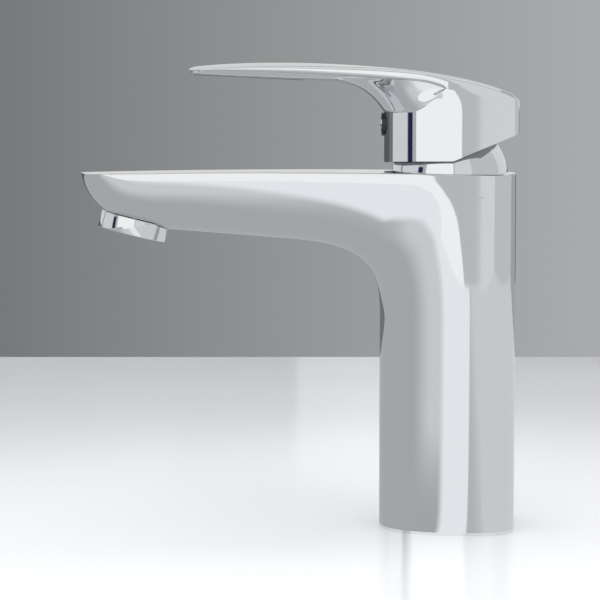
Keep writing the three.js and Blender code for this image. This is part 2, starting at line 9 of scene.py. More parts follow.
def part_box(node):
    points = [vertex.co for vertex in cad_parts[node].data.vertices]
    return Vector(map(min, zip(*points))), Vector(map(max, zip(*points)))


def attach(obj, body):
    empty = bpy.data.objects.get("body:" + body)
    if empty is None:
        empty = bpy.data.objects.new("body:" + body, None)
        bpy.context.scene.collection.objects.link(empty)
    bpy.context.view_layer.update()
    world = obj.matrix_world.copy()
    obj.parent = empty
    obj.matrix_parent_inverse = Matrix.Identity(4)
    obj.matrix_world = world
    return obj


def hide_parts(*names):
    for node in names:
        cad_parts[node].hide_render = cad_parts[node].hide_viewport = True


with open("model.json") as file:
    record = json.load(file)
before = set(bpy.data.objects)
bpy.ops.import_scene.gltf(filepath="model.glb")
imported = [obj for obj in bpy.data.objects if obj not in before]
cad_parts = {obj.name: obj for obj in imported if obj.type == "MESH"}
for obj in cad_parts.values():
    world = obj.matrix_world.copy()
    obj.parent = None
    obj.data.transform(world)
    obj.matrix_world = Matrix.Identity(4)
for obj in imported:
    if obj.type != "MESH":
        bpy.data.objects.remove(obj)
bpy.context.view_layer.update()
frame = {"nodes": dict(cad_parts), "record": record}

MM = 0.001

# ---------------------------------------------------------------- places taken from the frame, in mm
BODY_LOW, BODY_HIGH = [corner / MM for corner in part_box("body")]
HANDLE_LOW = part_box("handle")[0] / MM
DOME_LOW, DOME_HIGH = [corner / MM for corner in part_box("dome_cap")]
PLUG_LOW, PLUG_HIGH = [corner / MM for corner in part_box("index_plug")]
PIN_LOW, PIN_HIGH = [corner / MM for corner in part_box("stem_pin")]
DISC_LOW, DISC_HIGH = [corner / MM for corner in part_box("index_disc")]
GASKET_LOW, GASKET_HIGH = [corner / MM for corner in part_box("base_gasket")]
STUD_LOW, STUD_HIGH = [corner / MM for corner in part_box("mounting_stud")]
MOUNTS = {m["name"]: m for m in frame["record"]["mounts"]}

HALF_WIDTH = BODY_HIGH.x
COLUMN_BACK = BODY_HIGH.y
TIP_Y = BODY_LOW.y
RIDGE_Z = BODY_HIGH.z
PIVOT_Z = (PIN_LOW.z + PIN_HIGH.z) / 2
PLUG_Z = (PLUG_LOW.z + PLUG_HIGH.z) / 2
PLUG_R = (PLUG_HIGH.x - PLUG_LOW.x) / 2
OUTLET = Vector(MOUNTS["outlet_rim"]["pos_m"]) / MM
OUTLET_FACE = Vector((0, OUTLET.y, OUTLET.z))
OUTLET_AXIS = Vector(MOUNTS["outlet_rim"]["axis"])

# ---------------------------------------------------------------- the body's own dimensions
ROUND_CENTRE_Y = -3.2
COLUMN_FRONT = ROUND_CENTRE_Y - HALF_WIDTH
REAR_CORNER_R = 12
FILLET_START_Z = 72
FILLET_LEAD = 16
FILLET_END = (-55.0, 101.4)
BOW = (-99.5, 104.9)
BOW_LEAD = 15
NOSE_DRAW = 1.2
NOSE_Z = 113.8
TIP_TOP_Z = 124.4
SPOUT_TAPER = 3.8
TIP_CORNER_R = 6.5
TIP_FRONT_R = 48
TIP_BULGE_Y = -110
FLAT_Y = 5.7
FLAT_DEPTH = 38.5
FULLNESS = 2.3
CROWN_R = 150
RIDGE_Y = -52
RIDGE_FALL = 1.7e-4
BACK_CROWN_Z = 95
EDGE_R = 0.35
EDGE_EASE = 0.3 * EDGE_R

LINE_POINTS = 4400
LINE_SMOOTHING = 80
DEPTH_SMOOTHING = 6
SECTION_SAMPLES = 1500
STATIONS = 390
SIDE_POINTS = 96
TOP_POINTS = 20


def smoothstep(t):
    """An eased step from 0 to 1."""
    t = np.clip(t, 0, 1)
    return t * t * (3 - 2 * t)


def bezier(points, steps):
    """Points along a cubic curve."""
    a, b, c, d = [np.array(p, float) for p in points]
    t = np.linspace(0, 1, steps)[:, None]
    return a * (1 - t) ** 3 + 3 * b * t * (1 - t) ** 2 + 3 * c * t * t * (1 - t) + d * t**3


def arc(centre_x, centre_y, radius, start, end, count):
    """Points round a piece of a circle."""
    turn = np.linspace(start, end, count)
    return np.column_stack([centre_x + radius * np.cos(turn), centre_y + radius * np.sin(turn)])


def along(points):
    """Length from the start of a polyline to each of its points."""
    return np.concatenate([[0], np.cumsum(np.linalg.norm(np.diff(points, axis=0), axis=1))])


def respaced(points, count):
    """The same polyline with evenly spaced points."""
    length = along(points)
    at = np.linspace(0, length[-1], count)
    return np.stack([np.interp(at, length, points[:, k]) for k in range(points.shape[1])], axis=1)


# ---------------------------------------------------------------- edit-mode helpers
def deselect():
    """Leaves edit mode with nothing selected."""
    if bpy.context.object and bpy.context.object.mode != "OBJECT":
        bpy.ops.object.mode_set(mode="OBJECT")
    bpy.ops.object.select_all(action="DESELECT")


def activate(obj):
    """Selects one object alone and makes it the active one."""
    deselect()
    obj.select_set(True)
    bpy.context.view_layer.objects.active = obj
    return obj


def added(name):
    """The primitive that was just added, with its place moved into its mesh."""
    obj = bpy.context.object
    obj.name = name
    obj.data.name = name
    bpy.ops.object.transform_apply(location=True, rotation=True, scale=True)
    return obj


def modified(obj, kind, **settings):
    """Adds one modifier and applies it."""
    activate(obj)
    modifier = obj.modifiers.new(kind.title(), kind)
    for key, value in settings.items():
        setattr(modifier, key, value)
    bpy.ops.object.modifier_apply(modifier=modifier.name)
    return obj


def welded(obj, distance=0.004 * MM):
    """Merges doubles and turns every face outwards."""
    activate(obj)
    bpy.ops.object.mode_set(mode="EDIT")
    bpy.ops.mesh.select_all(action="SELECT")
    bpy.ops.mesh.remove_doubles(threshold=distance)
    bpy.ops.mesh.dissolve_degenerate(threshold=distance / 2)
    bpy.ops.mesh.normals_make_consistent(inside=False)
    bpy.ops.object.mode_set(mode="OBJECT")
    return obj


def smooth(obj, degrees=35):
    """Smooth shading, with the sharper edges kept."""
    activate(obj)
    bpy.ops.object.shade_smooth_by_angle(angle=math.radians(degrees))
    return obj


def skin(name, rows):
    """A half shell from rows of points in millimetres: a grid is laid over them, mirrored and welded."""
    deselect()
    count, columns = rows.shape[:2]
    bpy.ops.mesh.primitive_grid_add(x_subdivisions=columns - 1, y_subdivisions=count - 1)
    obj = added(name)
    obj.data.vertices.foreach_set("co", (rows.reshape(-1, 3) * MM).ravel().astype(np.float32))
    obj.data.update()
    modified(obj, "MIRROR", use_axis=(True, False, False), merge_threshold=0.002 * MM)
    return obj


def fill_open_edges(obj):
    """Closes the open foot with one face."""
    activate(obj)
    bpy.ops.object.mode_set(mode="EDIT")
    bpy.ops.mesh.select_mode(type="EDGE")
    bpy.ops.mesh.select_all(action="DESELECT")
    bpy.ops.mesh.select_non_manifold(extend=False, use_wire=False, use_multi_face=False, use_verts=False)
    bpy.ops.mesh.edge_face_add()
    bpy.ops.object.mode_set(mode="OBJECT")
    return obj


def cylinder(radius, start, end, sides=96, name="cutter", turned=0.0):
    """A round bar between two points in millimetres, turned about its own axis."""
    deselect()
    start, end = Vector(start) * MM, Vector(end) * MM
    stand = (end - start).to_track_quat("Z", "Y") @ Quaternion((0, 0, 1), turned)
    bpy.ops.mesh.primitive_cylinder_add(
        vertices=sides,
        radius=radius * MM,
        depth=(end - start).length,
        location=(start + end) / 2,
        rotation=stand.to_euler(),
    )
    return added(name)


def cut(obj, *cutters):
    """Takes the cutters out of the object."""
    for cutter in cutters:
        modified(obj, "BOOLEAN", operation="DIFFERENCE", solver="EXACT", object=cutter)
        bpy.data.objects.remove(cutter)
    return obj


# ---------------------------------------------------------------- body
def half_width(y):
    """Half the body's width at its widest, which tapers along the spout."""
    share = np.clip((ROUND_CENTRE_Y - y) / (ROUND_CENTRE_Y - TIP_Y), 0, 1)
    return HALF_WIDTH - SPOUT_TAPER * share**1.5


def top_z(x, y):
    """Height of the body's crowned top."""
    return RIDGE_Z - RIDGE_FALL * (y - RIDGE_Y) ** 2 - x * x / (2 * CROWN_R)


def underside():
    """The body's front and underside in side view, from the foot to the tip, as evenly spaced points."""
    slope = (BOW[1] - FILLET_END[1]) / (FILLET_END[0] - BOW[0])
    foot = [(COLUMN_FRONT, 0), (COLUMN_FRONT, FILLET_START_Z)]
    meet = FILLET_END[1] + (FILLET_END[0] - COLUMN_FRONT) * slope
    fillet_lead = (COLUMN_FRONT, FILLET_START_Z + FILLET_LEAD)
    fillet = bezier([foot[1], fillet_lead, (COLUMN_FRONT, meet), FILLET_END], 400)
    tip = (TIP_Y, TIP_TOP_Z)
    bow_lead = (BOW[0] - BOW_LEAD, BOW[1] + BOW_LEAD * slope)
    nose = bezier([BOW, bow_lead, (TIP_Y + NOSE_DRAW, NOSE_Z), tip], 400)
    line = np.concatenate([np.array(foot[:1], float), fillet, nose])
    return respaced(line, LINE_POINTS)


def oval(left):
    """Share of its full width that a full oval has, a share left before its widest place."""
    return (1 - np.clip(left, 0, 1) ** FULLNESS) ** (1 / FULLNESS)


def side_x(y, d, deep, across):
    """Half the body's width at y, d inside its front or underside: a quarter oval, then straight."""
    x = half_width(y) - across + across * oval(1 - d / deep)
    rear = np.clip(y - (COLUMN_BACK - REAR_CORNER_R), 0, REAR_CORNER_R)
    return np.minimum(x, HALF_WIDTH - REAR_CORNER_R + np.sqrt(REAR_CORNER_R**2 - rear**2))


def reach(start, normal, deep, across):
    """How far a line goes from the underside to the top or the back."""
    low, high = 0.0, 150.0
    for _ in range(40):
        d = (low + high) / 2
        y, z = start + normal * d
        inside = y < COLUMN_BACK and z < top_z(side_x(min(y, COLUMN_BACK), d, deep, across), y)
        low, high = (d, high) if inside else (low, d)
    return low


def body_row(start, normal, deep, across, d_end, turned_edge):
    """One line of points round the near half: underside, side, edge, then top or back to the centre plane."""
    share = (1 - np.cos(np.linspace(0, math.pi, SECTION_SAMPLES))) / 2
    d = share * d_end
    y = start[0] + normal[0] * d
    z = start[1] + normal[1] * d
    x = side_x(y, d, deep, across)
    if y[-1] > COLUMN_BACK - 0.01:
        x[-1] = min(x[-1], HALF_WIDTH - REAR_CORNER_R)
    flat = np.linspace(0, x[0], 30)[:-1]
    front = np.stack([flat, np.full_like(flat, start[0]), np.full_like(flat, start[1])], axis=1)
    side = np.concatenate([front, np.stack([x, y, z], axis=1)])
    edge = side[-1].copy()
    length = along(side)
    keep = np.linspace(0, max(length[-1] - EDGE_R, 0.5 * length[-1]), SIDE_POINTS)
    side = np.stack([np.interp(keep, length, side[:, k]) for k in range(3)], axis=1)
    leaves_at_top = edge[2] > top_z(edge[0], edge[1]) - 0.01
    inward = np.linspace(1, 0, TOP_POINTS)
    first = max(edge[0] - EDGE_R, 0)
    top = np.stack([first * inward, np.full(TOP_POINTS, edge[1]), np.full(TOP_POINTS, edge[2])], axis=1)
    if leaves_at_top:
        top[:, 2] = top_z(top[:, 0], top[:, 1])
        lean = min(max((edge[1] - COLUMN_BACK + REAR_CORNER_R) / REAR_CORNER_R, 0), 1)
        edge -= [EDGE_EASE * math.sqrt(1 - lean * lean), EDGE_EASE * lean, EDGE_EASE]
    else:
        rise = smoothstep((edge[2] - BACK_CROWN_Z) / (top_z(0, COLUMN_BACK) - BACK_CROWN_Z))
        top[:, 2] += rise * (edge[0] ** 2 - top[:, 0] ** 2) / (2 * CROWN_R)
    row = np.concatenate([side, edge[None], top])
    if turned_edge:
        turned = row if turned_edge > 0 else row[SIDE_POINTS:]
        turned += [0, turned_edge * EDGE_EASE, 0]
        turned[:, 2] = np.minimum(turned[:, 2], top_z(turned[:, 0], turned[:, 1]) - EDGE_EASE)
    bulge = smoothstep((TIP_BULGE_Y - row[:, 1]) / (TIP_BULGE_Y - TIP_Y))
    row[:, 1] += bulge * row[:, 0] ** 2 / (2 * TIP_FRONT_R)
    return row


def inward_normals(line, step):
    """Smoothed directions square to a line, pointing into the body."""
    slope = np.gradient(line, step, axis=0)
    kernel = np.hanning(2 * LINE_SMOOTHING + 1)
    kernel /= kernel.sum()
    padded = np.pad(slope, ((LINE_SMOOTHING, LINE_SMOOTHING), (0, 0)), mode="edge")
    slope = np.stack([np.convolve(padded[:, k], kernel, mode="valid") for k in (0, 1)], axis=1)
    slope /= np.linalg.norm(slope, axis=1)[:, None]
    return np.stack([slope[:, 1], -slope[:, 0]], axis=1)


def with_edge_rows(travel, at_turn):
    """Evenly spaced stations, with a close pair at the top's rear edge and another at its front edge."""
    wanted = np.linspace(0, travel[-1], STATIONS)
    gap = EDGE_R * 1.2
    wanted = wanted[(np.abs(wanted - at_turn) > 2 * gap) & (wanted < travel[-1] - gap)]
    edges = [at_turn - gap, at_turn, at_turn + gap, travel[-1] - gap, travel[-1]]
    return np.sort(np.concatenate([wanted, edges]))


def body_rows():
    """Stations along the underside, close together where they fan out over the back and the top."""
    line = underside()
    step = along(line)
    normals = inward_normals(line, step)
    root = int(np.argmin(np.abs(line[:, 0] - FILLET_END[0]) + 1e3 * (line[:, 1] < 90)))
    share = np.clip((step - step[root]) / (step[-1] - step[root]), 0, 1)
    half = half_width(line[:, 0])
    across = half + (TIP_CORNER_R - half) * smoothstep((share - 0.45) / 0.55)
    pick = np.unique(np.concatenate([np.arange(0, len(line), 8), [len(line) - 1]]))
    level = (FLAT_Y - COLUMN_FRONT) / np.maximum(normals[pick, 0], 0.1)
    depth = np.array([reach(line[i], normals[i], HALF_WIDTH, across[i]) for i in pick])
    deep = np.clip(depth - 1, TIP_CORNER_R, np.minimum(level, FLAT_DEPTH))
    window = np.ones(2 * DEPTH_SMOOTHING + 1) / (2 * DEPTH_SMOOTHING + 1)
    deep = np.convolve(np.pad(deep, DEPTH_SMOOTHING, mode="edge"), window, mode="valid")
    deep = np.interp(step, step[pick], deep)
    depth = np.array([reach(line[i], normals[i], deep[i], across[i]) for i in pick])
    ends = line[pick] + normals[pick] * depth[:, None]
    end_x = side_x(ends[:, 0], depth, deep[pick], across[pick])
    end_x[ends[:, 0] > COLUMN_BACK - 0.01] = HALF_WIDTH - REAR_CORNER_R
    outer = along(np.column_stack([end_x, ends]))
    travel = outer + 0.6 * step[pick]
    turn = int(np.argmax(ends[:, 0] < COLUMN_BACK - 0.005))
    pair = slice(turn - 1, turn + 1)
    at_turn = np.interp(COLUMN_BACK - 0.005, ends[pair, 0][::-1], travel[pair][::-1])
    rows = []
    for at in with_edge_rows(travel, at_turn):
        s = np.interp(at, travel, step[pick])
        start = np.array([np.interp(s, step, line[:, k]) for k in (0, 1)])
        normal = np.array([np.interp(s, step, normals[:, k]) for k in (0, 1)])
        normal /= np.linalg.norm(normal)
        shape = float(np.interp(s, step, deep)), float(np.interp(s, step, across))
        last = at == travel[-1]
        d_end = 0.0 if last else reach(start, normal, *shape)
        turned_edge = -1 if at == at_turn else (1 if last else 0)
        rows.append(body_row(start, normal, *shape, d_end, turned_edge))
    return np.array(rows)


def build_body():
    """The closed casting, before its bores."""
    obj = welded(skin("body_casting", body_rows()))
    return fill_open_edges(obj)


# ---------------------------------------------------------------- handle
COLLAR_CENTRE_Y = -1.8
COLLAR_FRONT = COLLAR_CENTRE_Y - HALF_WIDTH
COLLAR_Z = HANDLE_LOW.z
LEVER_TIP_Y = HANDLE_LOW.y
CREASE_Z = 145.7
CREASE_END_Z = 152.9
COLLAR_FLAT_Y = 3.9
SCOOP_END_Y = -3.0
SCOOP_END = math.acos(((COLLAR_FLAT_Y - SCOOP_END_Y) / (COLLAR_FLAT_Y - COLLAR_FRONT)) ** (FULLNESS / 2))
UNDERCUT = math.radians(22.7)
UNDERCUT_Y = -0.4
LEVER_TIP_HALF = 11.5
LEVER_TIP_R = 6
HANDLE_CORNER_R = 2.5
TOP_EDGE_R = 1.8
LOWER_EDGE_R = 1.3
CREASE_LEAN = 33
LEAN_LOSS = 12
LEAN_SPAN = 0.6
HOLLOW_REACH = 19.0
CLOSE_RANGE = 8
HOLLOW_PULL = 0.42
CREASE_RISE_FROM = 0.645
REAR_EDGE_TOP_Z = 153

WALL_POINTS = 22
MEMBRANE_POINTS = 56
BOTTOM_POINTS = 12
STRIP_ARC = 8
CROWN_POINTS = 25


def ridge_of_handle():
    """The handle's highest line in side view, from the lever's tip to the back, as y and z values."""
    back = bezier([(COLUMN_BACK, 150.6), (14, 155.6), (-4, 160), (-38, 162.1)], 300)
    front = bezier([(-38, 162.1), (-55, 163.15), (-78, 163), (LEVER_TIP_Y, 161.2)], 300)
    line = np.concatenate([back, front[1:]])[::-1]
    return line[:, 0], line[:, 1]


RIDGE_LINE = ridge_of_handle()


def handle_top(x, y, half):
    """Height of the handle's crowned top."""
    fall = 0.9 + 0.8 * smoothstep((-10 - y) / 40)
    return np.interp(y, *RIDGE_LINE) - fall * (x / half) ** 2


def lower_edge_z(y):
    """Height of the blade's lower edge at its side."""
    share = np.clip((y - LEVER_TIP_Y) / (-12.8 - LEVER_TIP_Y), 0, 1.2)
    drop = np.clip((y + 12.8) / 9.6, 0, 1)
    return 159.5 - 4.1 * share**1.6 - 1.7 * drop**2


def handle_plan():
    """The handle's outline from above, from the middle of the lever's tip to the middle of the back."""
    tip_x, tip_y = LEVER_TIP_HALF - LEVER_TIP_R, LEVER_TIP_Y + LEVER_TIP_R
    tip = np.array([(x, LEVER_TIP_Y) for x in np.linspace(0, tip_x, 60)])
    round_tip = arc(tip_x, tip_y, LEVER_TIP_R, -math.pi / 2, 0, 120)
    swell = [(LEVER_TIP_HALF + 2.5, -50), (HALF_WIDTH, -28)]
    side = bezier([(LEVER_TIP_HALF, tip_y), *swell, (HALF_WIDTH, COLLAR_CENTRE_Y)], 900)
    corner_x, corner_y = HALF_WIDTH - HANDLE_CORNER_R, COLUMN_BACK - HANDLE_CORNER_R
    straight = np.array([(HALF_WIDTH, y) for y in np.linspace(COLLAR_CENTRE_Y, corner_y, 200)])
    corner = arc(corner_x, corner_y, HANDLE_CORNER_R, 0, math.pi / 2, 80)
    back = np.array([(x, COLUMN_BACK) for x in np.linspace(corner_x, 0, 100)])
    return respaced(np.concatenate([tip, round_tip[1:], side[1:], straight[1:], corner[1:], back[1:]]), 6000)


PLAN = handle_plan()
PLAN_LENGTH = along(PLAN)
PLAN_NORMAL = np.gradient(PLAN, PLAN_LENGTH, axis=0)[:, ::-1] * [1, -1]


def plan_at(length):
    """Point, outward normal and half width at a length along the outline."""
    point = np.array([np.interp(length, PLAN_LENGTH, PLAN[:, k]) for k in (0, 1)])
    normal = np.array([np.interp(length, PLAN_LENGTH, PLAN_NORMAL[:, k]) for k in (0, 1)])
    return point, normal / np.linalg.norm(normal)


def lever_half(y):
    """Half the width of the lever at y."""
    side = PLAN[: np.argmax(PLAN[:, 1] > COLUMN_BACK - HANDLE_CORNER_R - 0.1)]
    return np.interp(y, side[60:, 1], side[60:, 0], left=LEVER_TIP_HALF)


LEVER_YS = np.linspace(LEVER_TIP_Y, COLUMN_BACK, 400)
LEVER_HALVES = np.maximum(lever_half(LEVER_YS), LEVER_TIP_HALF)


def blade_under(x, y):
    """Height of the blade's keeled underside."""
    keel = 158.7 - 0.047 * (y - LEVER_TIP_Y)
    edge = lower_edge_z(y)
    half = np.interp(y, LEVER_YS, LEVER_HALVES) - LOWER_EDGE_R
    return keel + (edge - keel) * np.clip(x / half, 0, 1.1) ** 2


def bottom_z(y):
    """Height of the handle's lower side: level under the collar, then rising to the back."""
    return COLLAR_Z + max(y - UNDERCUT_Y, 0) * math.tan(UNDERCUT)


def collar_at(angle):
    """Point of the collar's outline and its outward normal at an angle from the front."""
    deep = COLLAR_FLAT_Y - COLLAR_FRONT
    across, back = math.sin(angle) ** (2 / FULLNESS), math.cos(angle) ** (2 / FULLNESS)
    point = np.array([HALF_WIDTH * across, COLLAR_FLAT_Y - deep * back])
    normal = np.array([across ** (FULLNESS - 1) / HALF_WIDTH, -(back ** (FULLNESS - 1)) / deep])
    return point, normal / np.linalg.norm(normal)


def collar_x(y):
    """Half the collar's width at y."""
    return HALF_WIDTH * oval((COLLAR_FLAT_Y - y) / (COLLAR_FLAT_Y - COLLAR_FRONT))


def collar_wall(point, top_z):
    """The collar's wall over an outline point; near the lever's root its flat side starts further forward."""
    z = np.linspace(bottom_z(point[1]), top_z, WALL_POINTS)
    forward = 0.07 * np.maximum(z - CREASE_Z, 0) ** 2 * smoothstep((point[1] + 10) / 7)
    x = point[0] + collar_x(point[1] + forward) - collar_x(point[1])
    return np.column_stack([x, np.full_like(z, point[1]), z])


def scoop_curve(crease, crease_normal, share, edge, edge_normal):
    """A line of points from the collar's crease, through the hollow, out to the blade's lower edge."""
    lean = math.radians(CREASE_LEAN - LEAN_LOSS * float(smoothstep(share / LEAN_SPAN)))
    away = edge[:2] - crease[:2]
    distance = max(np.linalg.norm(away), 1e-6)
    away = away / distance
    reach_xy = (distance**-3 + HOLLOW_REACH**-3) ** (-1 / 3)
    middle_xy = crease[:2] + away * reach_xy
    closeness = math.exp(-((distance / CLOSE_RANGE) ** 2))
    heading = (1 - closeness) * away + closeness * edge_normal
    heading /= np.linalg.norm(heading)
    middle = np.array([*middle_xy, blade_under(*middle_xy)])
    ahead = middle_xy + heading * 0.1
    rise = (blade_under(*ahead) - middle[2]) / 0.1
    arrive = np.array([*heading, rise])
    leave = np.array([*(crease_normal * math.sin(lean)), math.cos(lean)])
    chord = np.linalg.norm(middle - crease)
    straight = (middle - crease) / max(chord, 1e-6)
    arrive = (1 - closeness) * arrive / np.linalg.norm(arrive) + closeness * straight
    leave = (1 - 0.5 * closeness) * leave + 0.5 * closeness * straight
    pull = HOLLOW_PULL * chord
    hollow = bezier([crease, crease + leave * pull, middle - arrive * pull, middle], 200)
    out = np.linspace(0, 1, 200)[1:, None]
    path = middle_xy + (edge[:2] - middle_xy) * out
    blade = np.column_stack([path, blade_under(path[:, 0], path[:, 1])])
    return np.concatenate([hollow, blade])


def strip(point, normal, low_z, top, low_r):
    """The blade's rounded edge in section: up from its underside to its crowned top."""
    turn = np.linspace(0, math.pi / 2, STRIP_ARC)
    low_rise = min(low_r, 0.45 * (top - low_z))
    top_rise = min(TOP_EDGE_R, 0.5 * (top - low_z))
    lower = [(low_r * (1 - math.sin(a)), low_z + low_rise * (1 - math.cos(a))) for a in turn]
    upper = [(TOP_EDGE_R * (1 - math.cos(a)), top - top_rise * (1 - math.sin(a))) for a in turn]
    return np.array([[*(point - normal * inset), z] for inset, z in lower + upper])


REAR_LENGTH = float(PLAN_LENGTH[np.argmax(PLAN[:, 1] > COLUMN_BACK - HANDLE_CORNER_R)])


def spine_point(point, length, inset):
    """Where a line across the handle from an outline point meets the centre plane, drawn in from its ends."""
    if length > REAR_LENGTH:
        share = (length - REAR_LENGTH) / (PLAN_LENGTH[-1] - REAR_LENGTH)
        return COLUMN_BACK - HANDLE_CORNER_R + (HANDLE_CORNER_R - inset) * share
    front = LEVER_TIP_Y + LEVER_TIP_R
    if point[1] >= front:
        return point[1]
    arc = LEVER_TIP_HALF - LEVER_TIP_R + LEVER_TIP_R * math.pi / 2
    gone = point[0]
    if gone > LEVER_TIP_HALF - LEVER_TIP_R:
        turn = math.asin(min((gone - LEVER_TIP_HALF + LEVER_TIP_R) / LEVER_TIP_R, 1))
        gone = LEVER_TIP_HALF - LEVER_TIP_R + LEVER_TIP_R * turn
    return LEVER_TIP_Y + LEVER_TIP_R * gone / arc


def handle_row(wall, membrane, point, normal, low_z, low_r, length):
    """One line of points round the near half: lower side, collar, scoop, blade edge and crowned top."""
    half = max(float(np.interp(point[1], LEVER_YS, LEVER_HALVES)), 1)
    rim = point - normal * TOP_EDGE_R
    top = float(handle_top(min(point[0], half), point[1], half))
    middle_y = spine_point(point, length, 0) if length > REAR_LENGTH else wall[0, 1]
    middle = np.array([0, middle_y, bottom_z(middle_y)])
    bottom = np.linspace(middle, wall[0], BOTTOM_POINTS)[:-1]
    edge = strip(point, normal, low_z, top, low_r)
    share = np.linspace(0, 1, CROWN_POINTS + 1)[1:, None]
    xy = rim + (np.array([0, spine_point(point, length, TOP_EDGE_R)]) - rim) * share
    half_here = np.interp(xy[:, 1], LEVER_YS, LEVER_HALVES)
    rim_z = float(handle_top(rim[0], rim[1], half))
    lift = top - rim_z
    crown = handle_top(xy[:, 0], xy[:, 1], half_here) + lift * (1 - share[:, 0]) ** 2
    return np.concatenate([bottom, wall, membrane, edge, np.column_stack([xy, crown])])


def handle_rows():
    """Stations round the outline: through the scoop first, then round the handle's square back."""
    rows = []
    side = np.argmax((PLAN[:, 1] > SCOOP_END_Y) & (PLAN[:, 0] > HALF_WIDTH - 1))
    scoop_length = PLAN_LENGTH[side]
    for share in np.linspace(0, 1, 190) ** 1.25:
        angle = share * SCOOP_END
        collar, crease_normal = collar_at(angle)
        lift = max(share - CREASE_RISE_FROM, 0) / (1 - CREASE_RISE_FROM)
        wall = collar_wall(collar, CREASE_Z + (CREASE_END_Z - CREASE_Z) * lift**1.6)
        crease = wall[-1]
        length = scoop_length * (1 - (1 - share) ** 2.1)
        point, normal = plan_at(length)
        fade = float(smoothstep((1 - share) / 0.15))
        low_r = LOWER_EDGE_R * (0.25 + 0.75 * fade)
        low_z = float(lower_edge_z(point[1]))
        edge = np.array([*(point - normal * low_r), low_z])
        curve = scoop_curve(crease, crease_normal, share, edge, normal)
        curve = respaced(curve, MEMBRANE_POINTS)
        rows.append(handle_row(wall, curve, point, normal, low_z, low_r, length))
    low_r = LOWER_EDGE_R * 0.25
    for length in np.linspace(scoop_length, PLAN_LENGTH[-1], 130)[1:]:
        point, normal = plan_at(length)
        low_z = CREASE_END_Z - 0.25 * (point[1] + 3)
        low_z = max(min(low_z, REAR_EDGE_TOP_Z), bottom_z(point[1]) + 1)
        x = point[0] if point[1] > COLLAR_FLAT_Y else collar_x(point[1])
        wall = collar_wall(np.array([x, point[1]]), low_z)
        curve = np.repeat(np.array([[*point, low_z]]), MEMBRANE_POINTS, axis=0)
        rows.append(handle_row(wall, curve, point, normal, low_z, 0.0, length))
    return np.array(rows)


def build_handle():
    """The closed lever and collar, before their hollows."""
    return welded(skin("lever_handle", handle_rows()))


# ---------------------------------------------------------------- bores of the body and hollows of the handle
CHAMBER_R = 17.7
CHAMBER_FLOOR_Z = 98
NUT_BORE_R = 19.2
NUT_BORE_Z = 113
DOME_SEAT_R = 20.6
DOME_SEAT_Z = 122.6
FOOT_RECESS_R = 16.4
FOOT_RECESS_Z = 50
HOSE_R = 4.9
HOSE_X = 5.7
STUD_R = 4.15
HOSE_DEPTH = 12
GROOVE_WIDTH = 2.0
AERATOR_R = 12
AERATOR_RIM = 5.8
AERATOR_NECK_R = 10.6
AERATOR_NECK_HIGH = 4.4
AERATOR_BORE_R = 9.2
AERATOR_BORE_DEPTH = 9.2
AERATOR_SEAT_R = 8.4
POCKET_R = 10.9
POCKET_DEPTH = 12.6
BOWL_R = 20.8
BOWL_SOLID_R = 7.4
REST_TILT = math.radians(11)
SPINDLE = 8.3
PLUG_HOLE_R = 4.4
PLUG_HOLE_DEPTH = 4.6
SCREW_HOLE_R = 2.75
SCREW_HOLE_END_Y = -4
RIM_WIDTH = 1.0
RIM_DEPTH = 0.6
BUTTON_R = 2.5
BUTTON_RISE = 1.0
GASKET_WIDTH = 1.9


def joined(cutters):
    """One solid out of several that overlap."""
    whole = cutters[0]
    for other in cutters[1:]:
        modified(whole, "BOOLEAN", operation="UNION", solver="EXACT", object=other)
        bpy.data.objects.remove(other)
    return whole


def from_outlet(height):
    """A point on the aerator's axis, a height up from the outlet's face."""
    return OUTLET_FACE - OUTLET_AXIS * height


def ring_cutter(inner, outer, low, high):
    """An upright ring about the origin."""
    outside = cylinder(outer, (0, 0, low), (0, 0, high))
    return cut(outside, cylinder(inner, (0, 0, low - 1), (0, 0, high + 1)))


def bore_body(obj):
    """The cartridge's chamber, the foot's recess, the threads for stud and hoses, the aerator's pocket."""
    hose_y = MOUNTS["hot_inlet_face"]["pos_m"][1] / MM
    stud_y = (STUD_LOW.y + STUD_HIGH.y) / 2
    above = 130
    threads_z = FOOT_RECESS_Z - 1
    hose_end_z = FOOT_RECESS_Z + HOSE_DEPTH
    upper = joined(
        [
            cylinder(CHAMBER_R, (0, 0, CHAMBER_FLOOR_Z), (0, 0, above)),
            cylinder(NUT_BORE_R, (0, 0, NUT_BORE_Z), (0, 0, above)),
            cylinder(DOME_SEAT_R, (0, 0, DOME_SEAT_Z), (0, 0, above), 192),
        ]
    )
    lower = joined(
        [
            cylinder(FOOT_RECESS_R, (0, 0, -1), (0, 0, FOOT_RECESS_Z)),
            cylinder(STUD_R, (0, stud_y, threads_z), (0, stud_y, STUD_HIGH.z + 1), 32),
            cylinder(HOSE_R, (HOSE_X, hose_y, threads_z), (HOSE_X, hose_y, hose_end_z), 40),
            cylinder(HOSE_R, (-HOSE_X, hose_y, threads_z), (-HOSE_X, hose_y, hose_end_z), 40),
        ]
    )
    groove = ring_cutter(GASKET_HIGH.x - GROOVE_WIDTH, GASKET_HIGH.x + 0.1, -1, 2)
    pocket = joined(
        [
            cylinder(AERATOR_R + 0.9, from_outlet(-8), from_outlet(AERATOR_RIM + 0.3)),
            cylinder(POCKET_R, from_outlet(0), from_outlet(POCKET_DEPTH)),
        ]
    )
    return cut(obj, upper, lower, groove, pocket)


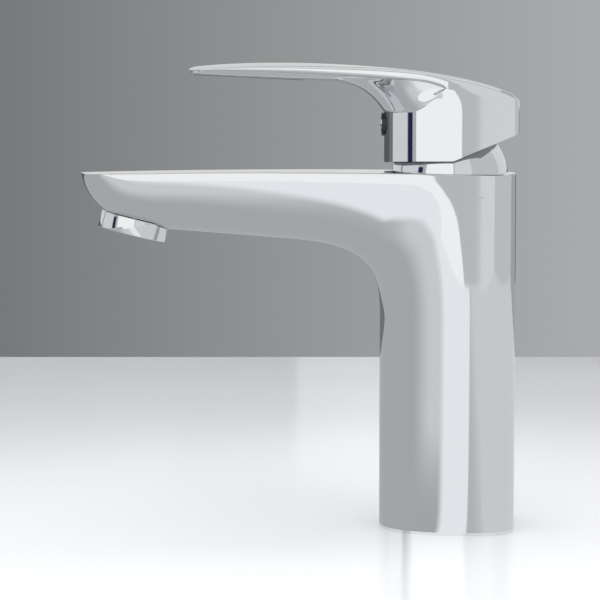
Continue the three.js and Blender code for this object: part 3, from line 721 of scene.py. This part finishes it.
def hollow_handle(obj):
    """The bowl round the dome, the spindle's square socket, and the holes for the set screw and its plug."""
    pivot = Vector((0, 0, PIVOT_Z))
    lean = Vector((0, -math.sin(REST_TILT), math.cos(REST_TILT)))
    deselect()
    bpy.ops.mesh.primitive_uv_sphere_add(segments=96, ring_count=64, radius=BOWL_R * MM, location=pivot * MM)
    bowl = cut(added("bowl"), cylinder(BOWL_SOLID_R, pivot + lean * 10, pivot + lean * (BOWL_R + 4), 48))
    socket = cylinder(SPINDLE / math.sqrt(2), pivot + lean * 8, pivot + lean * 25, 4, turned=math.pi / 4)
    plug_end_y = COLLAR_FRONT + PLUG_HOLE_DEPTH
    screw = joined(
        [
            cylinder(PLUG_HOLE_R, (0, COLLAR_FRONT - 2, PLUG_Z), (0, plug_end_y, PLUG_Z), 64),
            cylinder(SCREW_HOLE_R, (0, COLLAR_FRONT, PLUG_Z), (0, SCREW_HOLE_END_Y, PLUG_Z), 40),
        ]
    )
    return cut(obj, bowl, socket, screw)


# ---------------------------------------------------------------- smaller chrome and rubber pieces
def select_faces(obj, wanted):
    """Selects the faces that pass a test of their centre (in millimetres) and normal."""
    activate(obj)
    bpy.ops.object.mode_set(mode="EDIT")
    bpy.ops.mesh.select_mode(type="FACE")
    bpy.ops.mesh.select_all(action="DESELECT")
    bpy.ops.object.mode_set(mode="OBJECT")
    for face in obj.data.polygons:
        face.select = wanted(face.center / MM, face.normal)
    bpy.ops.object.mode_set(mode="EDIT")


def extruded(by):
    """Draws the selected faces out by an offset in millimetres."""
    bpy.ops.mesh.extrude_region_move(TRANSFORM_OT_translate={"value": Vector(by) * MM})


def bevelled(obj, width, degrees=50, segments=3):
    """Rounds every edge sharper than an angle."""
    return modified(
        obj,
        "BEVEL",
        width=width * MM,
        segments=segments,
        limit_method="ANGLE",
        angle_limit=math.radians(degrees),
    )


def build_dome():
    """A band of a sphere, cut level above and below and given its wall inwards."""
    deselect()
    bpy.ops.mesh.primitive_uv_sphere_add(
        segments=160, ring_count=120, radius=DOME_HIGH.x * MM, location=(0, 0, PIVOT_Z * MM)
    )
    dome = added("dome_skirt")
    for height, upwards in ((DOME_LOW.z, False), (DOME_HIGH.z, True)):
        activate(dome)
        bpy.ops.object.mode_set(mode="EDIT")
        bpy.ops.mesh.select_all(action="SELECT")
        bpy.ops.mesh.bisect(
            plane_co=(0, 0, height * MM), plane_no=(0, 0, 1), clear_inner=not upwards, clear_outer=upwards
        )
        bpy.ops.object.mode_set(mode="OBJECT")
    welded(dome, 0.001 * MM)
    modified(dome, "SOLIDIFY", thickness=0.9 * MM, offset=-1, use_even_offset=True)
    bevelled(dome, 0.2)
    return smooth(dome, 30)


def tilt_to_outlet(obj):
    """Turns a piece modelled upright at the origin to the aerator's place."""
    activate(obj)
    bpy.ops.object.mode_set(mode="EDIT")
    bpy.ops.mesh.select_all(action="SELECT")
    tilt = math.atan2(-OUTLET_AXIS.y, -OUTLET_AXIS.z)
    bpy.ops.transform.rotate(value=tilt, orient_axis="X", center_override=(0, 0, 0))
    bpy.ops.transform.translate(value=OUTLET_FACE * MM)
    bpy.ops.object.mode_set(mode="OBJECT")
    return obj


def build_aerator():
    """The threaded ring that shows under the spout: a bevelled band with a stepped bore and a neck."""
    deselect()
    bpy.ops.mesh.primitive_cylinder_add(
        vertices=128, radius=AERATOR_R * MM, depth=AERATOR_RIM * MM, location=(0, 0, AERATOR_RIM / 2 * MM)
    )
    ring = added("aerator_ring")
    select_faces(ring, lambda centre, normal: normal.z > 0.9)
    bpy.ops.mesh.inset(thickness=(AERATOR_R - AERATOR_NECK_R) * MM)
    extruded((0, 0, AERATOR_NECK_HIGH))
    bpy.ops.mesh.inset(thickness=(AERATOR_NECK_R - AERATOR_BORE_R) * MM)
    extruded((0, 0, -AERATOR_BORE_DEPTH))
    bpy.ops.mesh.delete(type="FACE")
    bpy.ops.object.mode_set(mode="OBJECT")
    select_faces(ring, lambda centre, normal: normal.z < -0.9 and centre.z < 0.1)
    bpy.ops.mesh.inset(thickness=(AERATOR_R - AERATOR_SEAT_R) * MM)
    extruded((0, 0, RIM_DEPTH))
    bpy.ops.mesh.delete(type="FACE")
    bpy.ops.mesh.select_mode(type="EDGE")
    bpy.ops.mesh.select_non_manifold(extend=False, use_wire=False, use_multi_face=False, use_verts=False)
    bpy.ops.mesh.bridge_edge_loops()
    bpy.ops.object.mode_set(mode="OBJECT")
    welded(ring)
    bevelled(ring, 0.35)
    return smooth(tilt_to_outlet(ring))


def build_plug():
    """The black plug in the collar's front: a rounded rim round a shallow seat."""
    front = PLUG_LOW.y
    back = PLUG_HIGH.y
    plug = cylinder(PLUG_R, (0, front, PLUG_Z), (0, back, PLUG_Z), 96, "index_plug_rim")
    select_faces(plug, lambda centre, normal: normal.y < -0.9)
    bpy.ops.mesh.inset(thickness=RIM_WIDTH * MM)
    extruded((0, RIM_DEPTH, 0))
    bpy.ops.object.mode_set(mode="OBJECT")
    return smooth(bevelled(plug, 0.4))


def build_index():
    """The bright domed button in the plug: the cap of a sphere, drawn back into its seat."""
    radius = (BUTTON_R**2 + BUTTON_RISE**2) / (2 * BUTTON_RISE)
    front = DISC_LOW.y - 0.05
    deselect()
    bpy.ops.mesh.primitive_uv_sphere_add(
        segments=96, ring_count=96, radius=radius * MM, location=(0, (front + radius) * MM, PLUG_Z * MM)
    )
    button = added("index_button")
    activate(button)
    bpy.ops.object.mode_set(mode="EDIT")
    bpy.ops.mesh.select_all(action="SELECT")
    bpy.ops.mesh.bisect(
        plane_co=(0, (front + BUTTON_RISE) * MM, 0), plane_no=(0, 1, 0), clear_outer=True, use_fill=True
    )
    extruded((0, DISC_HIGH.y - front - BUTTON_RISE, 0))
    bpy.ops.object.mode_set(mode="OBJECT")
    return smooth(welded(button, 0.001 * MM), 30)


def build_gasket():
    """The soft ring under the foot."""
    low, high = GASKET_LOW.z, GASKET_HIGH.z
    outer = cylinder(GASKET_HIGH.x, (0, 0, low), (0, 0, high), 128, "foot_gasket")
    inner = cylinder(GASKET_HIGH.x - GASKET_WIDTH, (0, 0, low - 1), (0, 0, high + 1), 128)
    return smooth(bevelled(cut(outer, inner), 0.25))


# ---------------------------------------------------------------- finishes
def finish(name, colour, metallic, roughness, spread, scale, grain, streak=(1, 1, 1), shade=0.0):
    """A surface whose shine, tint and fine relief vary a little over it."""
    material = bpy.data.materials.new(name)
    material.use_nodes = True
    nodes = material.node_tree.nodes
    link = material.node_tree.links.new
    shader = nodes["Principled BSDF"]
    shader.inputs["Metallic"].default_value = metallic
    place = nodes.new("ShaderNodeTexCoord")
    stretch = nodes.new("ShaderNodeMapping")
    stretch.inputs["Scale"].default_value = streak
    link(place.outputs["Object"], stretch.inputs["Vector"])
    broad = nodes.new("ShaderNodeTexNoise")
    broad.inputs["Scale"].default_value = scale
    broad.inputs["Detail"].default_value = 5
    fine = nodes.new("ShaderNodeTexNoise")
    fine.inputs["Scale"].default_value = scale * 22
    fine.inputs["Detail"].default_value = 3
    for noise in (broad, fine):
        link(stretch.outputs["Vector"], noise.inputs["Vector"])
    shine = nodes.new("ShaderNodeMapRange")
    shine.inputs["To Min"].default_value = max(roughness - spread, 0)
    shine.inputs["To Max"].default_value = roughness + spread
    link(broad.outputs["Fac"], shine.inputs["Value"])
    link(shine.outputs["Result"], shader.inputs["Roughness"])
    tint = nodes.new("ShaderNodeMix")
    tint.data_type = "RGBA"
    darker = [c * (1 - shade) for c in colour]
    tint.inputs["A"].default_value = (*darker, 1)
    tint.inputs["B"].default_value = (*colour, 1)
    link(broad.outputs["Fac"], tint.inputs["Factor"])
    link(tint.outputs["Result"], shader.inputs["Base Color"])
    relief = nodes.new("ShaderNodeBump")
    relief.inputs["Strength"].default_value = grain
    relief.inputs["Distance"].default_value = 0.02 * MM
    link(fine.outputs["Fac"], relief.inputs["Height"])
    link(relief.outputs["Normal"], shader.inputs["Normal"])
    return material


CHROME = finish("polished_chrome", (0.80, 0.81, 0.825), 1, 0.035, 0.012, 60, 0.004, shade=0.01)
# Painted shade: a darker, rougher metal that stands for the shade in the body's recesses, dome seat and foot,
# and under the handle.
PAINTED_SHADE_METAL = finish("rough_metal_painted_shade", (0.30, 0.305, 0.315), 1, 0.42, 0.08, 180, 0.5, shade=0.1)
FINISHES = {
    "chrome": CHROME,
    "brass": finish("turned_brass", (0.56, 0.40, 0.17), 1, 0.30, 0.08, 160, 0.35, (1, 1, 8), 0.12),
    "steel": finish("plated_steel", (0.46, 0.47, 0.48), 1, 0.34, 0.08, 180, 0.35, (1, 1, 6), 0.10),
    "ceramic": finish("lapped_ceramic", (0.86, 0.85, 0.80), 0, 0.18, 0.05, 220, 0.10, shade=0.04),
    "grey_plastic": finish("grey_moulding", (0.31, 0.33, 0.35), 0, 0.46, 0.07, 260, 0.30, shade=0.06),
    "white_plastic": finish("white_moulding", (0.80, 0.81, 0.81), 0, 0.42, 0.07, 260, 0.30, shade=0.04),
    "dark_plastic": finish("black_moulding", (0.018, 0.019, 0.021), 0, 0.28, 0.06, 260, 0.20, shade=0.15),
    "red_plastic": finish("red_moulding", (0.44, 0.022, 0.025), 0, 0.38, 0.07, 260, 0.30, shade=0.08),
    "rubber": finish("black_rubber", (0.013, 0.013, 0.014), 0, 0.72, 0.10, 320, 0.80, shade=0.20),
}


def wear(obj, slot):
    """Gives a piece the finish of its material slot."""
    obj.data.materials.clear()
    obj.data.materials.append(FINISHES[slot])


# ---------------------------------------------------------------- the made pieces in their places
MADE = [
    (smooth(bore_body(build_body())), "faucet_body", "body", "chrome"),
    (smooth(hollow_handle(build_handle())), "lever", "handle", "chrome"),
    (build_dome(), "faucet_body", "dome_cap", "chrome"),
    (build_aerator(), "faucet_body", "aerator_housing", "chrome"),
    (build_plug(), "lever", "index_plug", "dark_plastic"),
    (build_index(), "lever", "index_disc", "chrome"),
    (build_gasket(), "faucet_body", "base_gasket", "rubber"),
]
for obj, rides, node, slot in MADE:
    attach(obj, rides)
    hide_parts(node)
    wear(obj, slot)


def paint_shade_where(obj, in_shade):
    """Paints shade on the faces that pass a test of their centre (in millimetres) and normal: they get the
    darker, rougher metal.
    """
    obj.data.materials.append(PAINTED_SHADE_METAL)
    for face in obj.data.polygons:
        if in_shade(face.center / MM, face.normal):
            face.material_index = 1


def under_handle(centre, normal):
    """The bowl round the dome and the handle's level lower side, where shade is painted."""
    from_pivot = (centre - Vector((0, 0, PIVOT_Z))).length
    return from_pivot < BOWL_R + 0.1 or (normal.z < -0.85 and centre.z < 141 and centre.y > -24)


def inside_body(centre, normal):
    """The foot and its recess, and the cartridge's chamber, where shade is painted."""
    across = math.hypot(centre.x, centre.y)
    foot = centre.z < 0.05 or (centre.z < 66 and across < GASKET_HIGH.x + 0.15 and normal.z < 0.5)
    return foot or (centre.z > CHAMBER_FLOOR_Z - 0.1 and across < DOME_SEAT_R + 0.05 and centre.z < 124.6)


# Painted shade on the body's foot, recesses and dome seat, and on the handle's bowl and lower side.
paint_shade_where(MADE[0][0], inside_body)
paint_shade_where(MADE[1][0], under_handle)
for part in frame["record"]["subparts"]:
    if part["node"] not in {node for _, _, node, _ in MADE}:
        wear(frame["nodes"][part["node"]], part["material_slot"])

# ---------------------------------------------------------------- camera, floor and light
camera_data = bpy.data.cameras.new("camera")
camera_data.lens = 114
camera_data.sensor_width = 36
camera = bpy.data.objects.new("camera", camera_data)
bpy.context.scene.collection.objects.link(camera)
camera.location = (0.667, -0.05246, 0.123)
camera.rotation_euler = (math.radians(90 - 3.7), 0, math.radians(90))
bpy.context.scene.camera = camera


def glow(name, colour, strength):
    """A surface that gives its own even light."""
    material = bpy.data.materials.new(name)
    material.use_nodes = True
    nodes = material.node_tree.nodes
    nodes.clear()
    out = nodes.new("ShaderNodeOutputMaterial")
    light = nodes.new("ShaderNodeEmission")
    light.inputs["Color"].default_value = (*colour, 1)
    light.inputs["Strength"].default_value = strength
    material.node_tree.links.new(light.outputs[0], out.inputs["Surface"])
    return material


def card(name, corners, colour, strength):
    """A flat light or dark card between its corners, seen only in reflections."""
    mesh = bpy.data.meshes.new(name)
    mesh.from_pydata(corners, [], [range(len(corners))])
    obj = bpy.data.objects.new(name, mesh)
    bpy.context.scene.collection.objects.link(obj)
    obj.data.materials.append(glow(name, colour, strength))
    obj.visible_camera = False
    obj.visible_shadow = False
    return obj


def standing(name, away, from_degrees, to_degrees, low, high, colour, strength):
    """An upright card across a range of bearings: 0 is the camera's side, 90 the front of the spout."""
    start, end = math.radians(from_degrees), math.radians(to_degrees)
    (x0, y0), (x1, y1) = [(away * math.cos(a), -away * math.sin(a)) for a in (start, end)]
    return card(name, [(x0, y0, low), (x1, y1, low), (x1, y1, high), (x0, y0, high)], colour, strength)


def ramp(material, value, from_min, from_max, to_min, to_max):
    """A smooth step of a value between two limits."""
    node = material.node_tree.nodes.new("ShaderNodeMapRange")
    node.interpolation_type = "SMOOTHSTEP"
    limits = {"From Min": from_min, "From Max": from_max, "To Min": to_min, "To Max": to_max}
    for key, limit in limits.items():
        node.inputs[key].default_value = limit
    material.node_tree.links.new(value, node.inputs["Value"])
    return node.outputs["Result"]


def blended(material, share, under, over):
    """One level laid over another by a share."""
    node = material.node_tree.nodes.new("ShaderNodeMix")
    material.node_tree.links.new(share, node.inputs["Factor"])
    material.node_tree.links.new(under, node.inputs["A"])
    node.inputs["B"].default_value = over
    return node.outputs["Result"]


NEAR_GLOW = 0.46
FAR_GLOW = 0.72
FRONT_GLOW = 0.47
GAP_GLOW = 0.56
SIDE_GLOW = 0.72
WHITE_GLOW = 0.98
GAP_SLOPE = 0.0855


def build_table_glow():
    """What the chrome sees of the table: dim close to the column and in front of it, bright further out."""
    corners = [(-0.6, -1.4, 0.001), (1.45, -1.4, 0.001), (1.45, 1.4, 0.001), (-0.6, 1.4, 0.001)]
    obj = card("table_glow", corners, (0.96, 0.98, 1), 1)
    obj.visible_diffuse = False
    material = obj.data.materials[0]
    nodes = material.node_tree.nodes
    link = material.node_tree.links.new
    place = nodes.new("ShaderNodeTexCoord")
    away = nodes.new("ShaderNodeVectorMath")
    away.operation = "LENGTH"
    link(place.outputs["Object"], away.inputs[0])
    split = nodes.new("ShaderNodeSeparateXYZ")
    link(place.outputs["Object"], split.inputs[0])
    bearing = nodes.new("ShaderNodeMath")
    bearing.operation = "ARCTAN2"
    link(split.outputs["Y"], bearing.inputs[0])
    link(split.outputs["X"], bearing.inputs[1])
    outwards = ramp(material, away.outputs["Value"], 0.03, 0.34, NEAR_GLOW, FAR_GLOW)
    front = ramp(material, bearing.outputs[0], math.radians(-52), math.radians(-24), 1, 0)
    bright = ramp(material, bearing.outputs[0], math.radians(-19), math.radians(-11), 0, 1)
    past = nodes.new("ShaderNodeMath")
    past.operation = "MULTIPLY_ADD"
    past.inputs[1].default_value = -GAP_SLOPE
    link(split.outputs["X"], past.inputs[0])
    link(split.outputs["Y"], past.inputs[2])
    short = ramp(material, past.outputs[0], 0.0022, 0.0032, 1, 0)
    beyond = ramp(material, past.outputs[0], 0.0045, 0.011, 0, 1)
    level = outwards
    for share, glow_level in ((front, FRONT_GLOW), (bright, GAP_GLOW), (beyond, SIDE_GLOW)):
        level = blended(material, share, level, glow_level)
    white = nodes.new("ShaderNodeMath")
    white.operation = "MULTIPLY"
    link(bright, white.inputs[0])
    link(short, white.inputs[1])
    level = blended(material, white.outputs[0], level, WHITE_GLOW)
    link(level, nodes["Emission"].inputs["Strength"])
    side = nodes.new("ShaderNodeNewGeometry")
    clear = nodes.new("ShaderNodeBsdfTransparent")
    facing = nodes.new("ShaderNodeMixShader")
    link(side.outputs["Backfacing"], facing.inputs[0])
    link(nodes["Emission"].outputs[0], facing.inputs[1])
    link(clear.outputs[0], facing.inputs[2])
    link(facing.outputs[0], nodes["Material Output"].inputs["Surface"])


build_table_glow()
card("key_card", [(1.5, -1.0, 0), (1.5, 0.075, 0), (1.5, 0.075, 1.6), (1.5, -1.0, 1.6)], (1, 1, 1), 1.05)
card("gap", [(1.52, 0.05, 0), (1.52, 0.17, 0), (1.52, 0.17, 1.6), (1.52, 0.05, 1.6)], (0.97, 0.98, 1), 0.58)
card("side_card", [(1.5, 0.148, 0), (1.5, 1.4, 0), (1.5, 1.4, 1.6), (1.5, 0.148, 1.6)], (0.96, 0.98, 1), 0.78)
standing("upper_card", 1.8, 33, 53, 0.13, 1.6, (1, 1, 1), 1.05)
standing("navy_strip", 1.5, 60, 70, 0.12, 0.62, (0.018, 0.025, 0.06), 1)
standing("front_card", 1.5, 72, 116, 0.13, 1.6, (0.95, 0.97, 1), 0.74)
standing("dark_front", 1.6, 134, 178, 0.0, 0.21, (0.10, 0.105, 0.115), 1)
standing("rear_card", 1.9, -40, -112, 0.0, 1.6, (0.96, 0.98, 1), 0.62)
standing("dark_back", 1.6, -150, -178, 0.0, 0.2, (0.12, 0.125, 0.13), 1)
standing("rim_card", 1.7, -110, -180, 0.2, 1.6, (1, 1, 1), 0.75)
standing("far_rim_card", 1.65, 120, 180, 0.2, 1.6, (1, 1, 1), 0.72)
card("top_card", [(-0.9, -0.9, 1.6), (0.9, -0.9, 1.6), (0.9, 0.7, 1.6), (-0.9, 0.7, 1.6)], (1, 1, 1), 0.8)
overhead_data = bpy.data.lights.new("overhead", "AREA")
overhead_data.shape = "RECTANGLE"
overhead_data.size = 2.2
overhead_data.size_y = 2.2
overhead_data.energy = 30
overhead = bpy.data.objects.new("overhead", overhead_data)
bpy.context.scene.collection.objects.link(overhead)
overhead.location = (0.4, 0, 1.5)
overhead.visible_camera = False
overhead.visible_glossy = False

FLOOR_BACK = 0.63
FLOOR_DEPTH = 2.63
deselect()
bpy.ops.mesh.primitive_plane_add(size=1)
floor = bpy.context.object
floor.name = "floor"
floor.scale = (FLOOR_DEPTH, 6, 1)
floor.location = (FLOOR_DEPTH / 2 - FLOOR_BACK, 0, 0)
floor.data.materials.append(finish("glazed_top", (0.80, 0.81, 0.83), 0, 0.14, 0.03, 14, 0.002, shade=0.01))


def build_world():
    """A soft grey room, darker behind the spout and lighter behind the column, pale to the front."""
    world = bpy.data.worlds.new("studio")
    bpy.context.scene.world = world
    world.use_nodes = True
    nodes = world.node_tree.nodes
    link = world.node_tree.links.new
    place = nodes.new("ShaderNodeTexCoord")
    split = nodes.new("ShaderNodeSeparateXYZ")
    link(place.outputs["Generated"], split.inputs["Vector"])
    sideways = nodes.new("ShaderNodeMapRange")
    for key, value in {"From Min": -0.16, "From Max": 0.16, "To Min": 0.19, "To Max": 0.42}.items():
        sideways.inputs[key].default_value = value
    link(split.outputs["Y"], sideways.inputs["Value"])
    behind = nodes.new("ShaderNodeMapRange")
    for key, value in {"From Min": -0.5, "From Max": 0.1, "To Min": 0.0, "To Max": 1.0}.items():
        behind.inputs[key].default_value = value
    link(split.outputs["X"], behind.inputs["Value"])
    mixed = nodes.new("ShaderNodeMix")
    mixed.inputs["B"].default_value = 0.5
    link(behind.outputs["Result"], mixed.inputs["Factor"])
    link(sideways.outputs["Result"], mixed.inputs["A"])
    background = nodes["Background"]
    background.inputs["Color"].default_value = (0.96, 0.98, 1, 1)
    link(mixed.outputs["Result"], background.inputs["Strength"])


build_world()
bpy.context.scene.view_settings.view_transform = "Standard"
